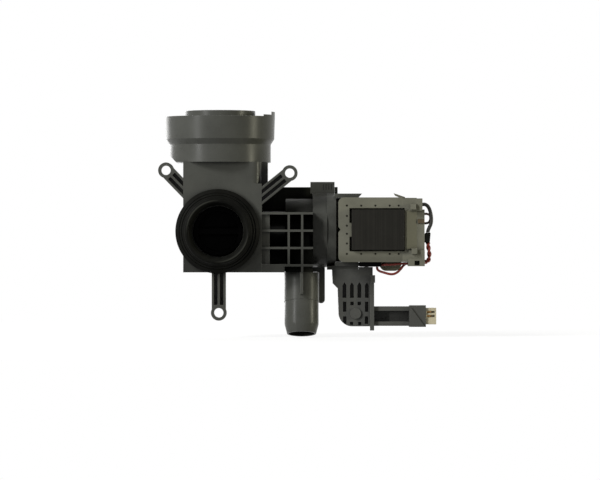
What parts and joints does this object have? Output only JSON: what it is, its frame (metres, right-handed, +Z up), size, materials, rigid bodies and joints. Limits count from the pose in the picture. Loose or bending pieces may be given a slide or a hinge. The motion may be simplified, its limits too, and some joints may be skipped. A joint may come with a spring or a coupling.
{
  "type": "washer drain pump",
  "caption": "Drain pump with a filter housing, a tub inlet collar on top, a tilted outlet spigot, a lint filter that turns and pulls out, and a motor whose rotor drives an impeller.",
  "frame": {"origin": "on the clean-out port's axis, in the plane of the mounting ears' front faces", "axes": "+X along the motor, away from the filter housing; +Y into the machine, away from the viewer; +Z up, towards the tub inlet"},
  "size_m": [0.2447, 0.0984, 0.1994],
  "materials": {
    "housing_plastic": "moulded grey, satin",
    "rubber": "black rubber",
    "black_plastic": "moulded black",
    "impeller_plastic": "moulded off-white",
    "frame_plastic": "glass-filled beige grey",
    "ivory_plastic": "moulded ivory",
    "laminated_steel": "varnished stacked sheets",
    "steel": "ground",
    "ferrite": "dull dark grey",
    "sintered_bronze": "oil-filled sinter",
    "brass": "stamped",
    "copper": "enamelled wire",
    "black_insulation": "soft sheath",
    "brown_insulation": "soft sheath",
    "red_insulation": "soft sheath"
  },
  "bodies": {
    "pump": {"filter_housing": "housing_plastic", "inlet_tube": "housing_plastic", "port_nozzle": "housing_plastic", "inlet_collar": "housing_plastic", "left_mounting_ear": "housing_plastic", "right_mounting_ear": "housing_plastic", "lower_mounting_ear": "housing_plastic", "pump_casing": "housing_plastic", "suction_duct": "housing_plastic", "casing_ribs": "housing_plastic", "motor_ring": "housing_plastic", "outlet_spigot": "housing_plastic", "port_sleeve": "rubber", "front_bearing": "sintered_bronze", "rear_bearing": "sintered_bronze", "shaft_seal": "rubber", "thrust_washer": "brass", "motor_head": "housing_plastic", "head_seal_ring": "rubber", "stator_core": "laminated_steel", "coil_frame": "frame_plastic", "coil_rear_cover": "frame_plastic", "upper_bobbin": "frame_plastic", "lower_bobbin": "frame_plastic", "upper_winding": "copper", "lower_winding": "copper", "terminal_cap": "frame_plastic", "terminal_blades": "brass", "terminal_boot": "rubber", "black_lead": "black_insulation", "brown_lead": "brown_insulation", "red_lead_loop": "red_insulation", "upper_red_lead": "red_insulation", "lower_red_lead": "red_insulation", "wire_clamp": "black_plastic", "harness_sleeve": "black_insulation", "harness_bracket": "housing_plastic", "connector_housing": "ivory_plastic", "connector_pins": "brass"},
    "filter_seal": {"filter_seal_ring": "rubber"},
    "lint_filter": {"filter_cap": "black_plastic", "filter_basket": "black_plastic"},
    "rotor": {"rotor_shaft": "steel", "rotor_magnet": "ferrite", "drive_dog": "steel"},
    "impeller": {"impeller": "impeller_plastic", "impeller_cap": "impeller_plastic"}
  },
  "joints": [
    {"name": "filter_draw", "type": "slide", "parent": "pump", "child": "filter_seal", "axis": [0, -1, 0], "range_m": [0, 0.08]},
    {"name": "filter_turn", "type": "hinge", "parent": "filter_seal", "child": "lint_filter", "pos_m": [0, 0.031, 0], "axis": [0, -1, 0], "range_deg": [0, 90]},
    {"name": "rotor_spin", "type": "hinge", "parent": "pump", "child": "rotor", "pos_m": [0.12, 0.048, 0.0014], "axis": [1, 0, 0], "continuous": true},
    {"name": "impeller_lost_motion", "type": "hinge", "parent": "rotor", "child": "impeller", "pos_m": [0.076, 0.048, 0.0014], "axis": [1, 0, 0], "range_deg": [-125, 125]}
  ]
}
